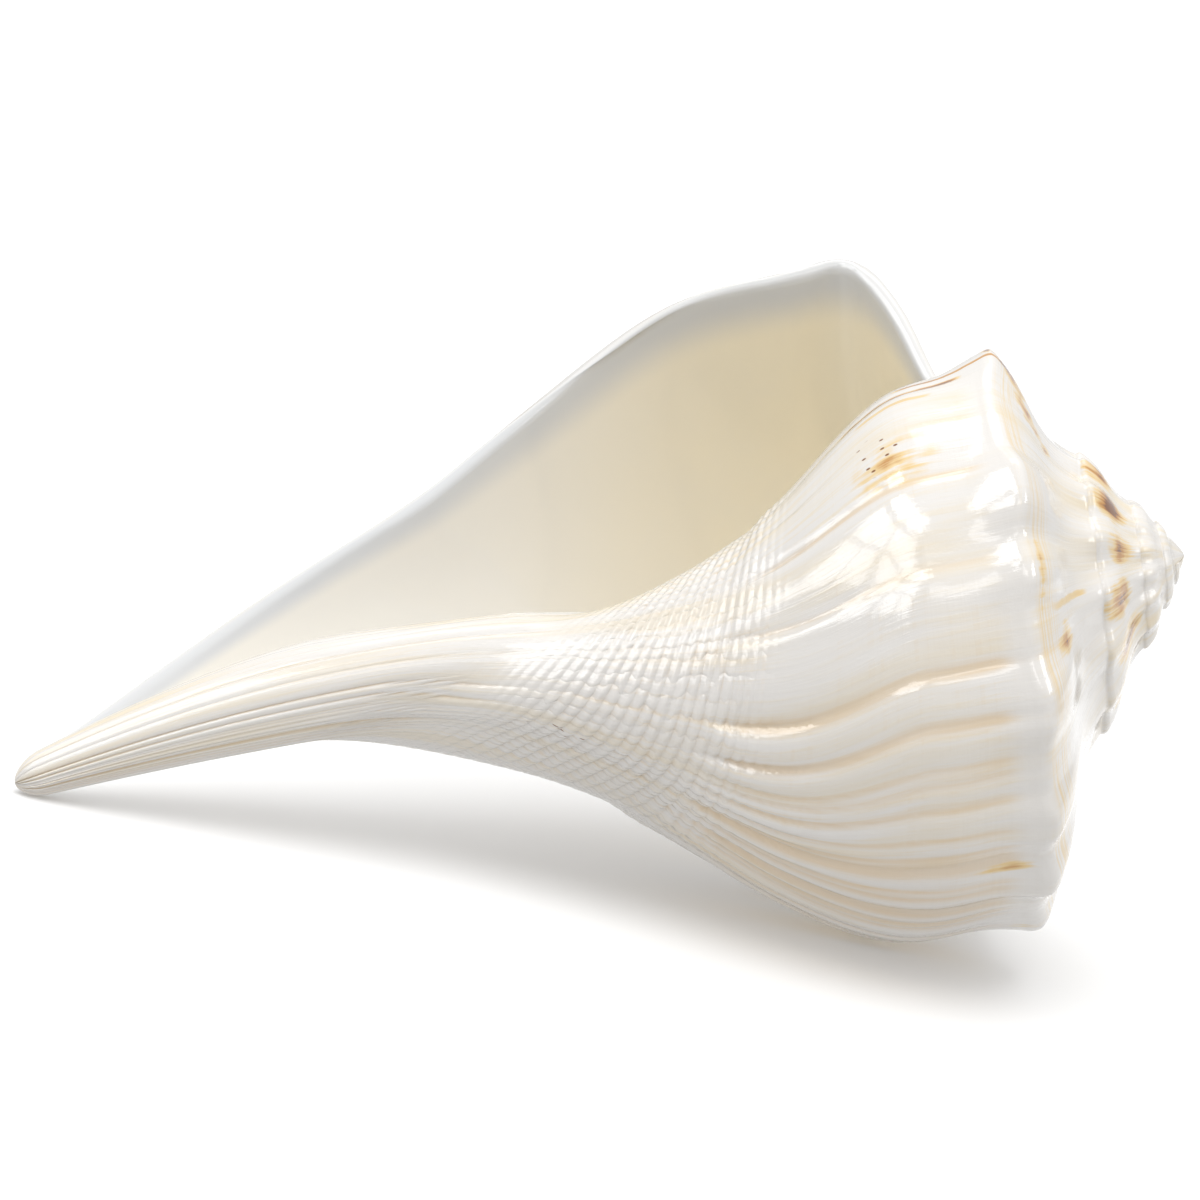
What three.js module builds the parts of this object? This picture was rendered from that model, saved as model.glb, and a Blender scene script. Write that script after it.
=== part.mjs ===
// Left-handed whelk shell ("conch"), one solid, millimetres, +Z up.
// The shell grows as a spiral: a section (ramp, shoulder, body, canal) is
// swept round the coiling axis and grows with every turn. Its outer skin,
// the wall inside the mouth and the lip's rim close into a single body.

import * as THREE from 'three';
import { ParametricGeometry } from 'three/addons/geometries/ParametricGeometry.js';
import { mergeGeometries, mergeVertices } from 'three/addons/utils/BufferGeometryUtils.js';

// Driving dimensions, measured along and out from the coiling axis.
const shellLength = 200; // apex to the end of the canal
const shoulderRadius = 78; // shoulder of the last whorl, at the lip
const shoulderDrop = 42.5; // apex to that shoulder, along the axis
const wallThickness = 2.6;
const lipThickness = 1.9;
const lipThinTurns = 0.02; // the wall thins to the lip over about this much of a turn
const tipRounding = 5; // rounded end of the canal

// Growth. A turn count of 0 is the lip, -1 is one whorl earlier.
const turnRatio = 1.94; // size gained per turn
const lateFlare = 0.16; // the last whorl widens a little faster
const lateFlareTurns = 0.6;
const lateLevel = 0.18; // and its shoulder runs on more level
const lateLevelTurns = 0.3;
const firstTurn = -3.7;
const firstWhorlRise = -0.2; // the rounded first whorl ends this far past the apex
const mouthDepthTurns = 1.1; // how far in the open whorl runs
const lipAzimuth = 126; // degrees round the axis, 90 is up, 0 faces -Y
const canalTwist = 13; // growth lines lag this much at the canal's end
const twistStart = 40;
const twistCurve = 1.5;

// Knobs along the shoulder, each the head of a low fold that runs down the body.
const knobsPerTurn = 10;
const knobTurn = -0.38; // place of one knob
const knobHeight = 0.045; // this and the next three are in shoulder radii
const knobSpread = 0.09;
const foldHeight = 0.012;
const foldLength = 0.75;
const rampBow = 0.014; // the ramp is hollow by the suture and full by the shoulder
const rampBowInward = 0.6; // share of that bow that goes towards the axis

// Body outline at the lip: a straight cone from the shoulder to a point far
// down the canal, with a belly that swells out of it under the shoulder.
const coneLength = 160;
const bellyBulge = 14;
const bellyLength = 88;
const bellySkew = 0.82; // under 1 the belly is fullest near the shoulder
// The pillar (columella) that carries on down the canal and tapers to its tip.
const pillarRadius = 8.6;
const canalTipRadius = 3.3;
const canalTaperStart = 145;
const canalTaperCurve = 1.4;
// The slight bend of the canal, to the lip's side.
const bendHeight = 6.8;
const bendStart = 74;
const bendLength = 136;
const bendEase = 0.3; // share of that length over which it sets in
const pillarBlend = 3; // how sharply the body runs into the pillar
const pillarStart = 35; // the pillar takes over this far below the shoulder
const mouthEnd = 191; // lowest point of the hollow at the lip
const mouthEndRate = 0.86; // and how that point climbs, further in
const hollowEnding = 8; // how bluntly the hollow closes there
const hollowRounding = 0.1; // keeps the hollow from closing to nothing, mm squared

// The way down when the shell lies on its back, on the body and the canal's tip.
const underside = new THREE.Vector3(-0.38, 0.23, -0.9).normalize();

// Mesh density.
const stepsPerTurn = 50;
const rampStations = [0, 0.25, 0.5, 0.75, 0.92, 1];
const bodyStations = [0.02, 0.06, 0.12, 0.18, 0.24, 0.31, 0.38, 0.45, 0.52, 0.6, 0.7, 0.82, 0.92, 1];
const tipStations = [0.45, 0.8, 0.95, 1];
const stations = [...rampStations, ...bodyStations.map((s) => 1 + s), ...tipStations.map((s) => 2 + s)];
const shoulderAt = rampStations.length - 1;
const sutureAt = shoulderAt + 1; // where the next whorl's wall sits on this one
const mouthAt = shoulderAt + bodyStations.length;
const tipAt = stations.length - 1;
const nearby = 0.01; // step along the section that gives its direction
const weldDistance = 1e-4;

const { clamp, degToRad, lerp, smoothstep } = THREE.MathUtils;

// Radius of the body at the lip, at a distance below the shoulder.
function bodyOutline(below) {
  const down = Math.max(below, 0);
  const cone = Math.max(shoulderRadius * (1 - down / coneLength), 0);
  const along = Math.min(down / bellyLength, 1) ** bellySkew;
  return cone + bellyBulge * Math.sin(Math.PI * along) ** 2;
}

function pillarOutline(height) {
  const along = clamp((height - canalTaperStart) / (shellLength - canalTaperStart), 0, 1);
  return lerp(pillarRadius, canalTipRadius, along ** canalTaperCurve);
}

function canalBend(height) {
  const along = clamp((height - bendStart) / bendLength, 0, 1);
  return bendHeight * Math.sin(Math.PI * along) * smoothstep(along, 0, bendEase);
}

function girth(turn) {
  return Math.exp(Math.log(turnRatio) * turn + lateFlare * (Math.exp(turn / lateFlareTurns) - 1));
}

function shoulderHeight(turn) {
  const level = lateLevel * (1 - Math.exp(turn / lateLevelTurns));
  return shoulderDrop * Math.exp(Math.log(turnRatio) * turn + level);
}

// Radius of the body whorl that was laid down at a turn, at a height.
function bodyRadius(turn, height) {
  const size = girth(turn);
  const below = (height - shoulderHeight(turn)) / size;
  const body = size * bodyOutline(below);
  const pillar = pillarOutline(height) * smoothstep(below, 0, pillarStart);
  const intoTip = clamp((height - shellLength + tipRounding) / tipRounding, 0, 1);
  return Math.cbrt(body ** pillarBlend + pillar ** pillarBlend) * Math.sqrt(1 - intoTip ** 2);
}

// Lowest point of the hollow at a turn.
function hollowEnd(turn) {
  return mouthEnd * Math.exp(mouthEndRate * turn);
}

// How far the knobs and folds stand out of the plain section.
function relief(turn, height) {
  const size = shoulderRadius * girth(turn);
  const below = (height - shoulderHeight(turn)) / size;
  const crest = 0.5 + 0.5 * Math.cos(2 * Math.PI * knobsPerTurn * (turn - knobTurn));
  const knob = knobHeight * crest ** 2 * Math.exp(-((below / knobSpread) ** 2));
  const fold = foldHeight * crest * Math.exp(-((below / foldLength) ** 2));
  return size * (knob + fold);
}

// A point of the growing section as [height, radius]. Station 0 to 1 is the
// ramp, 1 to 2 the body down to the end of the hollow, 2 to 3 the canal's tip.
function section(turn, station, end) {
  if (station >= 1) {
    const top = shoulderHeight(turn);
    const height = station <= 2 ? lerp(top, end, station - 1) : lerp(end, shellLength, station - 2);
    return [height, bodyRadius(turn, height)];
  }
  const suture = section(turn - 1, 1, end);
  const shoulder = section(turn, 1, end);
  const bow = rampBow * shoulderRadius * girth(turn) * Math.sin(2 * Math.PI * station);
  const height = lerp(suture[0], shoulder[0], station) + bow;
  const radius = lerp(suture[1], shoulder[1], station) - bow * rampBowInward;
  return [height, radius];
}

// Where the skin's body stations end: at the canal on the last whorl, and
// at the end of the hollow on the whorls inside it.
function stationEnd(turn) {
  return turn < -1 ? hollowEnd(turn + 1) : mouthEnd;
}

// The outer skin at a growth step: the section with its knobs and folds. The
// ramp takes up the knobs of the whorl above it and fades into its own.
function skin(step, at) {
  const turn = step / stepsPerTurn;
  const station = stations[at];
  if (at === 0) return skin(step - stepsPerTurn, shoulderAt);
  if (at === tipAt) return [shellLength, 0];
  const [height, radius] = section(turn, station, stationEnd(turn));
  if (station >= 1) return [height, radius + relief(turn, height)];
  const above = relief(turn - 1, shoulderHeight(turn - 1)) * (1 - station) ** 3;
  const own = relief(turn, shoulderHeight(turn)) * station ** 3;
  return [height, radius + above + own];
}

// The wall's inner face: the section moved in by the wall's thickness,
// starting and ending on the whorl before it.
function innerFace(step, at) {
  if (at === 0) return skin(step - stepsPerTurn, sutureAt);
  if (at === mouthAt) return skin(step - stepsPerTurn, mouthAt);
  const turn = step / stepsPerTurn;
  const station = stations[at];
  const end = hollowEnd(turn);
  const [height, radius] = section(turn, station, end);
  const before = section(turn, station - nearby, end);
  const after = section(turn, station + nearby, end);
  const along = Math.hypot(after[0] - before[0], after[1] - before[1]);
  const thickness = wallThickness - (wallThickness - lipThickness) * Math.exp(turn / lipThinTurns);
  const inHeight = height + (thickness * (after[1] - before[1])) / along;
  const inRadius = radius - (thickness * (after[0] - before[0])) / along;
  const core = bodyRadius(turn - 1, inHeight) + relief(turn - 1, inHeight);
  const gap = inRadius - core;
  const open = 0.5 * (gap + Math.sqrt(gap ** 2 + hollowRounding));
  const closing = station > 1 ? Math.sqrt(1 - (station - 1) ** hollowEnding) : 1;
  return [inHeight, core + open * closing];
}

const rimSteps = sutureAt - shoulderAt;

// The rim of the lip, from the skin round to the inner face.
function rim(across, at) {
  const outer = skin(0, at);
  const inner = at <= mouthAt ? innerFace(0, at) : skin(-stepsPerTurn, at);
  const share = across / rimSteps;
  return [0, 1].map((k) => outer[k] + (inner[k] - outer[k]) * share);
}

// The wall that closes the hollow deep inside.
const deepest = -Math.round(mouthDepthTurns * stepsPerTurn);
function septum(across, at) {
  const outer = innerFace(deepest, at);
  const coreAt = sutureAt + Math.round((at / mouthAt) * (mouthAt - sutureAt));
  const core = skin(deepest - stepsPerTurn, coreAt);
  return [0, 1].map((k) => outer[k] + (core[k] - outer[k]) * across);
}

// Height, radius and turn to a point in space.
function place([height, radius], turn, target) {
  const twist = canalTwist * Math.max((height - twistStart) / (shellLength - twistStart), 0) ** twistCurve;
  const azimuth = degToRad(lipAzimuth - 360 * turn + twist);
  target.set(-height, -radius * Math.cos(azimuth), radius * Math.sin(azimuth) + canalBend(height));
}

// One sheet of the surface over whole steps and stations.
function sheet(surface, steps, ats, flip) {
  const [firstStep, lastStep] = steps;
  const [firstAt, lastAt] = ats;
  return new ParametricGeometry(
    (u, v, target) => {
      const step = Math.round(firstStep + (lastStep - firstStep) * (flip ? v : u));
      const at = Math.round(firstAt + (lastAt - firstAt) * (flip ? u : v));
      surface(step, at, target);
    },
    Math.abs(flip ? lastAt - firstAt : lastStep - firstStep),
    Math.abs(flip ? lastStep - firstStep : lastAt - firstAt),
  );
}

function shellGeometry() {
  const firstStep = Math.round(firstTurn * stepsPerTurn);
  const onSkin = (step, at, target) => place(skin(step, at), step / stepsPerTurn, target);
  const onInner = (step, at, target) => place(innerFace(step, at), step / stepsPerTurn, target);
  const onRim = (across, at, target) => place(rim(across, at), 0, target);
  const onSeptum = (across, at, target) => place(septum(across, at), deepest / stepsPerTurn, target);
  const capLoop = stepsPerTurn + shoulderAt;
  const onCap = (across, along, target) => {
    if (along <= stepsPerTurn) onSkin(firstStep + along, 0, target);
    else onSkin(firstStep, shoulderAt + stepsPerTurn - along, target);
    if (across === 1) target.set(firstWhorlRise, 0, 0);
  };
  const sheets = [
    sheet(onSkin, [-stepsPerTurn, 0], [0, tipAt], true),
    sheet(onSkin, [firstStep, -stepsPerTurn], [0, shoulderAt], true),
    sheet(onSkin, [deepest - stepsPerTurn, -stepsPerTurn], [sutureAt, mouthAt], true),
    sheet(onInner, [deepest, 0], [0, mouthAt], false),
    sheet(onRim, [0, rimSteps], [0, tipAt], true),
    sheet(onSeptum, [0, 1], [0, mouthAt], true),
    sheet(onCap, [0, 1], [0, capLoop], true),
  ];
  sheets.forEach((geometry) => {
    geometry.deleteAttribute('normal');
    geometry.deleteAttribute('uv');
  });
  const merged = mergeVertices(mergeGeometries(sheets), weldDistance);
  const corners = merged.getIndex().array;
  const kept = [];
  for (let i = 0; i < corners.length; i += 3) {
    const [a, b, c] = corners.slice(i, i + 3);
    if (a !== b && b !== c && c !== a) kept.push(a, b, c);
  }
  merged.setIndex(kept);
  return merged;
}

const porcelain = new THREE.MeshStandardMaterial({ color: 0xf4efe6, roughness: 0.22, metalness: 0 });
const shell = new THREE.Mesh(shellGeometry(), porcelain);
shell.name = 'shell';

// Lay the shell down: its underside faces -Z, the apex points to +X, and the
// middle of its box stands on the origin.
const up = underside.clone().negate();
const towardsApex = new THREE.Vector3(1, 0, 0).projectOnPlane(up).normalize();
const across = new THREE.Vector3().crossVectors(up, towardsApex);
const lying = new THREE.Matrix4().makeBasis(towardsApex, across, up).transpose();
shell.quaternion.setFromRotationMatrix(lying);
const laid = shell.geometry.clone().applyMatrix4(lying);
const box = new THREE.Box3().setFromBufferAttribute(laid.getAttribute('position'));
const middle = box.getCenter(new THREE.Vector3());
shell.position.set(-middle.x, -middle.y, -box.min.z);

const whelk = new THREE.Group();
whelk.add(shell);
export default whelk;
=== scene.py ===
import math

import bmesh
import bpy
import numpy as np
from mathutils import Matrix, Vector


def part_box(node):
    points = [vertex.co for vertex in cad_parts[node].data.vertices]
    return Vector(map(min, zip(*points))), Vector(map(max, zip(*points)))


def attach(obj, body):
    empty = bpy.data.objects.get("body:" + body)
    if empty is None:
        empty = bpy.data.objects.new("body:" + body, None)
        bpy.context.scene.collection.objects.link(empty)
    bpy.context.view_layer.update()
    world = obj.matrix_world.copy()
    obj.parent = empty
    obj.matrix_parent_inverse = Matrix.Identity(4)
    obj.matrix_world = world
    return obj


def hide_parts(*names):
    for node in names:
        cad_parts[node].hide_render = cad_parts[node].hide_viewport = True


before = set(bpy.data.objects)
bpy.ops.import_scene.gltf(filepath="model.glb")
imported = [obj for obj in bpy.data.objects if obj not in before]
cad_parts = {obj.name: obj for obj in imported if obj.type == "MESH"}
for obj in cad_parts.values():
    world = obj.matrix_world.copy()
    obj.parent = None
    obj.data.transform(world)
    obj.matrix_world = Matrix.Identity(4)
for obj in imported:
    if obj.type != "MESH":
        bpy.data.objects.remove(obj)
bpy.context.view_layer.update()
shellLow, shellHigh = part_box("shell")
print("frame loaded")

# Lengths are in mm along and out from the coiling axis, with the apex at zero. A turn of 0 is
# the lip and -1 is one whorl earlier. Distances below the shoulder are in mm at the lip's
# scale, and shrink with the whorl.
shell = {
    "length": 200.0,
    "shoulder": 78.0,  # radius of the shoulder at the lip
    "drop": 42.5,  # from the apex to the shoulder at the lip
    "tip": 5.0,  # length of the canal's rounded end
    "wall": 2.6,
    "lip": 1.9,  # thickness of the wall at the lip
    "lipThinning": 0.02,  # turns over which the wall thins
    "turnRatio": 1.94,  # growth in one turn
    "flare": (0.16, 0.6),  # extra growth towards the lip, and over how many turns
    "level": (0.18, 0.3),  # how much less the shoulder sinks towards the lip, and over how many turns
    "fullSpire": (0.3, -2.2, -4.2),  # extra width of the first whorls, between these turns
    "firstTurn": -4.6,
    "firstRise": -0.2,  # where the rounded first whorl closes on the axis; minus is towards the canal
    "mouthTurns": 1.1,  # how far in the hollow goes
    "mouthEnd": (191.0, 0.86),  # where the hollow ends at the lip, and how that grows with the turn
    "lipAzimuth": 126.0,
    "twist": (13.0, 40.0, 1.5),  # degrees that the canal's end lags, the height where this starts, curve
    "corner": (0.034, 0.35, 1.4),  # rounding of the shoulder, more on the last whorl, more at the lip
    "cornerTurns": (-1, -0.94),  # turns over which the last whorl's rounding grows
    "insideCorner": (0.2, 0.07),  # the same on the inner face, deep inside and at the lip
    "lipFlare": (1.9, 0.04),  # how far the lip turns out, and over how many turns
    "lipFlareStep": (-0.75, 0.6),  # what that is in height and in radius
    "lipFlareReach": 14.0,  # how far below the shoulder it goes
    "lipFlareRamp": (0.04, 0.6),  # shares of the ramp between which it grows
    "rimBulge": 0.32,  # roundness of the lip's edge, as a share of its width
    "cone": 160.0,  # the body is a cone that would end this far below the shoulder
    "belly": (14.0, 88.0, 0.82),  # and swells out of it: height, length, skew
    "pillar": (8.6, 3.3, 145.0, 1.4),  # radius, radius at the tip, start and curve of the taper
    "pillarShows": 35.0,  # distance below the shoulder by which the pillar is full
    "bend": (6.8, 74.0, 136.0, 0.3),  # height, start and length of the canal's bend, easing
    "spireSwell": 0.045,  # roundness of the early whorls, in shoulder radii
    "swellStep": (-0.88, 0.48),  # what that is in height and in radius
    "swollenTurns": (-1.6, -2.4),
    "rampBow": 0.014,
    "bowStep": (1, -0.6),
    "underside": (-0.38, 0.23, -0.9),  # this direction faces the floor
    "stepsPerTurn": 325,
    "stepShares": ((0, 0.2, 0.68, 1), (0, 0.25, 0.62, 1)),  # shares of the steps and of the turn
}

# Knobs of the last whorl: turn, height in shoulder radii, half width in turns.
knobs = [
    (-0.95, -0.01, 0.03), (-0.858, 0.056, 0.04), (-0.712, 0.05, 0.026), (-0.66, 0.024, 0.016),
    (-0.58, 0.03, 0.02), (-0.51, 0.024, 0.016), (-0.46, 0.024, 0.014), (-0.385, 0.03, 0.022),
    (-0.29, 0.028, 0.026), (-0.2, 0.04, 0.026), (-0.11, 0.036, 0.026), (-0.03, 0.024, 0.014),
]
# Growth pauses, each a groove with a raised edge: turn at the shoulder, depth in shoulder radii.
strongPauses = [
    (-0.83, 0.010), (-0.73, 0.015), (-0.61, 0.021), (-0.58, 0.019), (-0.555, 0.010), (-0.53, 0.013),
    (-0.51, 0.011), (-0.485, 0.026), (-0.46, 0.012), (-0.44, 0.014), (-0.42, 0.011), (-0.38, 0.010),
]
# Weaker pauses between them; apart is how far they keep from the strong ones.
pauseRuns = [
    {"from": -0.98, "to": -0.03, "spacing": 0.04, "depth": 0.010, "apart": 0.02},
    {"from": -0.57, "to": -0.33, "spacing": 0.014, "depth": 0.008, "apart": 0.006},
]
pauseScatter = {"seed": 5, "place": 0.3, "depth": (0.6, 1.4)}
# Heights are in shoulder radii. A zone is where something starts, is full, starts to fade and is gone.
relief = {
    "earlyKnobs": 15,  # knobs per turn on the spire
    "earlyStart": 1.625,
    "earlyHeight": 0.06,
    "earlyWaves": ((0.12, 7.3, 0), (0.1, 17.1, 1)),  # uneven spacing: size, rate and start of a wave
    "earlyUneven": (-1.9, -2.3),  # turns over which the spacing becomes uneven
    "earlyFading": ((0.7, -2.3, -3.2), (0.55, -1.75, -1.4)),  # share lost, between these turns
    "lastKnobs": (-1.06, -1.0),  # turns over which the last whorl's own knobs take over
    "knobReach": 0.13,  # how far a knob reaches down the body, in shoulder radii
    "knobLean": 0.9,  # how far the knobs point up the spire, as a share of their height
    "earlyLean": 0.3,  # the lean on the spire, against the last whorl's
    "leanReach": 0.1,
    "aboveFade": 4,  # power with which the knobs of the whorl above fade over the ramp
    "ownGrow": (1.4, 2.0),  # power with which the own knobs grow over it, on the spire and later
    "ownTurns": (-1.1, -0.95),  # turns between the two
    "foldShare": 0.3,  # height of the fold below a knob, as a share of the knob's
    "foldReach": 0.6,
    "foldedTurns": (-1.12, -0.96, -0.2, -0.06),  # zone of the folds, pauses and cords
    "pauseFall": 0.011,  # turns over which the surface falls into a pause
    "pauseRise": 0.0035,  # and steps up out of it
    "pauseLoss": (0.65, 0.9, 0.6),  # share lost at the shoulder, at the neck; given back on the canal
    "shoulderEnd": 14,
    "neckStart": (66, 84),
    "canalStart": (122, 150),
    "stainShadeFall": 0.005,  # like pauseFall, for the tan in the pauses, partly stain and partly painted shade
    "stainShadeDepth": 0.014,  # depth of a pause whose tan of stain and painted shade is full
    "cordZone": (64, 84, 110, 142),
    "cords": (58.0, 2.4, 0.022, 28),  # start below the shoulder, first spacing, its growth, how many
    "cordRows": 3,  # rows of the mesh for each cord
    "cordHeight": 0.009,
    "cordLoss": (0.65, -0.4, -0.3),  # share of the cords lost towards the lip, between these turns
    "beadsPerTurn": 62,
    "noseHeight": 0.028,  # swelling of the folds before they end at the neck
    "noseZone": (38, 70, 77, 86),
    "noseDepth": (0.02, 1.2),  # a pause this deep ends the swelling, and how far it can turn it round
    "lag": (0.05, 28, 76, 135, 172),  # turns that a growth line lags at the neck, and its zone
    "lagCarry": 0.8,  # how much of the lag counts in finding the turn that sets it
    "lagFolded": (-0.56, 0.09, 0.32, 0.75),  # the most folded turn, its half width, lag outside and extra
    "lagLip": -0.15,  # from this turn the lag eases off towards the lip
}
# Places where the body is a little slimmer: depth in shoulder radii, turn, half width in turns, zone.
slimmer = [
    (0.042, -0.93, 0.09, (4, 22, 60, 95)),
    (0.026, -0.87, 0.12, (110, 150, 190, 250)),
    (0.042, -0.42, 0.08, (60, 90, 120, 150)),
]


def growthPauses():
    rng = np.random.default_rng(pauseScatter["seed"])
    aside = pauseScatter["place"]
    found = list(strongPauses)
    for run in pauseRuns:
        turns = np.arange(run["from"], run["to"], run["spacing"])
        turns = turns + rng.uniform(-aside, aside, len(turns)) * run["spacing"]
        depths = run["depth"] * rng.uniform(*pauseScatter["depth"], len(turns))
        for turn, depth in zip(turns, depths):
            if min(abs(turn - strong) for strong, _ in strongPauses) > run["apart"]:
                found.append((turn, depth))
    return found


pauses = growthPauses()


def smoothStep(low, high, x):
    u = np.clip((x - low) / (high - low), 0, 1)
    return u * u * (3 - 2 * u)


def window(x, rise, full, fade, gone):
    return smoothStep(rise, full, x) * (1 - smoothStep(fade, gone, x))


def hump(x, middle, halfWidth):
    return np.exp(-(((x - middle) / halfWidth) ** 2))


def mix(a, b, share):
    return a + (b - a) * share


def bodyCurve(below):
    height, length, skew = shell["belly"]
    down = np.maximum(below, 0)
    cone = np.maximum(shell["shoulder"] * (1 - down / shell["cone"]), 0)
    return cone + height * np.sin(math.pi * np.minimum(down / length, 1) ** skew) ** 2


def pillarCurve(height):
    radius, tipRadius, start, curve = shell["pillar"]
    along = np.clip((height - start) / (shell["length"] - start), 0, 1)
    return mix(radius, tipRadius, along**curve)


def bendCurve(height):
    rise, start, length, ease = shell["bend"]
    along = np.clip((height - start) / length, 0, 1)
    return rise * np.sin(math.pi * along) * smoothStep(0, ease, along)


def girth(turn):
    amount, turns = shell["flare"]
    extra, start, end = shell["fullSpire"]
    fuller = 1 + extra * smoothStep(start, end, turn)
    return fuller * np.exp(math.log(shell["turnRatio"]) * turn + amount * (np.exp(turn / turns) - 1))


def shoulderHeight(turn):
    amount, turns = shell["level"]
    raised = amount * (1 - np.exp(turn / turns))
    return shell["drop"] * np.exp(math.log(shell["turnRatio"]) * turn + raised)


def hollowEnd(turn):
    end, rate = shell["mouthEnd"]
    return end * np.exp(rate * turn)


def bodyRadius(turn, height):
    size = girth(turn)
    below = (height - shoulderHeight(turn)) / size
    body = size * bodyCurve(below)
    pillar = pillarCurve(height) * smoothStep(0, shell["pillarShows"], below)
    intoTip = np.clip((height - shell["length"] + shell["tip"]) / shell["tip"], 0, 1)
    return np.cbrt(body**3 + pillar**3) * np.sqrt(1 - intoTip**2)


def cordBelow(number):  # distance below the shoulder of the groove before a cord
    start, spacing, growth, _ = relief["cords"]
    return start + spacing * number + growth * number**2


def cordNumber(below):  # the other way round, and even steps before the first cord
    start, spacing, growth, _ = relief["cords"]
    down = np.maximum(below - start, 0)
    number = (np.sqrt(spacing**2 + 4 * growth * down) - spacing) / (2 * growth)
    return number + np.minimum(below - start, 0) / spacing


# Rows of the section: the ramp, the body down to the end of the hollow, the tip.
rampRows = 18
upperRows = 34
cordRows = relief["cords"][3] * relief["cordRows"]
freeRow = upperRows + cordRows + relief["cordRows"]
bodyRows = freeRow + 14
tipRows = 9
sutureRow = rampRows + 3
innerRow = rampRows + 6
rimSteps = innerRow - sutureRow
mouthRow = rampRows + bodyRows
tipRow = mouthRow + tipRows
# Shares of the ramp at its rows, which are closer at the suture and at the shoulder.
rampStations = np.interp(
    np.arange(rampRows + 1), [0, 4, 11, 14, rampRows], [0, 0.12, 0.78, 0.93, 1]
)
# Distance below the shoulder at each body row, with one row in the groove and two on the back
# of each cord; past the last of them the rows run evenly to the end of the hollow.
upperBelow = np.interp(np.arange(upperRows), [0, 3, 6, 10, upperRows], [0, 2.7, 5, 9.5, cordBelow(0)])
cordsBelow = cordBelow(np.arange(freeRow - upperRows + 1) / relief["cordRows"])
bodyBelow = np.concatenate([upperBelow, cordsBelow])
sutureBelow = bodyBelow[sutureRow - rampRows]
rampMap = 40  # the maps count the ramp as this many mm above the shoulder


def bodyHeight(turn, row, end):
    top = shoulderHeight(turn)
    down = top + bodyBelow[np.minimum(row, freeRow)] * girth(turn)
    rest = np.clip((row - freeRow) / (bodyRows - freeRow), 0, 1)
    return down + (end - down) * rest


def rampPoint(turn, share):
    sutureTurn = turn - 1
    sutureHeight = shoulderHeight(sutureTurn) + sutureBelow * girth(sutureTurn)
    sutureRadius = bodyRadius(sutureTurn, sutureHeight)
    top = shoulderHeight(turn)
    size = shell["shoulder"] * girth(turn)
    bow = shell["rampBow"] * size * np.sin(2 * math.pi * share)
    swollen = smoothStep(*shell["swollenTurns"], turn)
    swell = shell["spireSwell"] * size * np.sin(math.pi * share) * swollen
    heightStep, radiusStep = (bow * b + swell * s for b, s in zip(shell["bowStep"], shell["swellStep"]))
    height = mix(sutureHeight, top, share) + heightStep
    radius = mix(sutureRadius, bodyRadius(turn, top), share) + radiusStep
    return height, radius


# The shoulder is a quadratic blend between a point up the ramp and one down the body.
def roundCorner(turn, along, reach, upShare):
    top = shoulderHeight(turn)
    cornerRadius = bodyRadius(turn, top)
    upHeight, upRadius = rampPoint(turn, upShare)
    downRadius = bodyRadius(turn, top + reach)
    a = np.clip((along + reach) / (2 * reach), 0, 1)
    height = (1 - a) ** 2 * upHeight + 2 * a * (1 - a) * top + a**2 * (top + reach)
    radius = (1 - a) ** 2 * upRadius + 2 * a * (1 - a) * cornerRadius + a**2 * downRadius
    return height, radius


# Height and radius on the ramp where the share is under 1, else on the body at the height.
def roundedSection(turn, share, height, corner):
    rampHeight, rampRadius = rampPoint(turn, np.minimum(share, 1))
    onRamp = share < 1
    reach = corner * shell["shoulder"] * girth(turn)
    top = shoulderHeight(turn)
    startHeight, startRadius = rampPoint(turn, np.zeros_like(turn))
    run = np.hypot(top - startHeight, bodyRadius(turn, top) - startRadius)
    along = np.where(onRamp, (share - 1) * run, height - top)
    curve = roundCorner(turn, along, reach, 1 - reach / run)
    near = np.abs(along) < reach
    outHeight = np.where(near, curve[0], np.where(onRamp, rampHeight, height))
    outRadius = np.where(near, curve[1], np.where(onRamp, rampRadius, bodyRadius(turn, height)))
    return outHeight, outRadius


def lipShare(turn):
    return np.where(turn > -1, np.exp(np.minimum(turn, 0) / shell["lipFlare"][1]), 0)


def plainSection(turn, row, end):
    share = np.where(row < rampRows, rampStations[np.clip(row, 0, rampRows)], 1)
    height = bodyHeight(turn, np.maximum(row - rampRows, 0), end)
    intoTip = np.clip((row - mouthRow) / tipRows, 0, 1)
    toTip = end + (shell["length"] - end) * np.sin(intoTip * math.pi / 2)
    height = np.where(row > mouthRow, toTip, height)
    corner, lastMore, lipMore = shell["corner"]
    corner = corner * (1 + lastMore * smoothStep(*shell["cornerTurns"], turn) + lipMore * lipShare(turn))
    return roundedSection(turn, share, height, corner)


# Outward turn of the lip near the shoulder, as steps in height and radius.
def flareOut(turn, share, below):
    down = np.maximum(below, 0) / shell["lipFlareReach"]
    amount = np.where(share < 1, smoothStep(*shell["lipFlareRamp"], share), np.exp(-(down**2)))
    amount = amount * shell["lipFlare"][0] * lipShare(turn)
    heightStep, radiusStep = shell["lipFlareStep"]
    return heightStep * amount, radiusStep * amount


# The lag of a growth line is strongest on the folded part of the last whorl and gone at the lip.
def lagShare(turn):
    middle, halfWidth, outside, extra = relief["lagFolded"]
    return (outside + extra * hump(turn, middle, halfWidth)) * smoothStep(0, relief["lagLip"], turn)


# The turn whose growth line passes through a point: the lines lag at the neck.
def growthTurn(turn, below):
    most, *zone = relief["lag"]
    lag = most * window(below, *zone)
    return turn - lag * lagShare(turn - lag * relief["lagCarry"])


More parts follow.
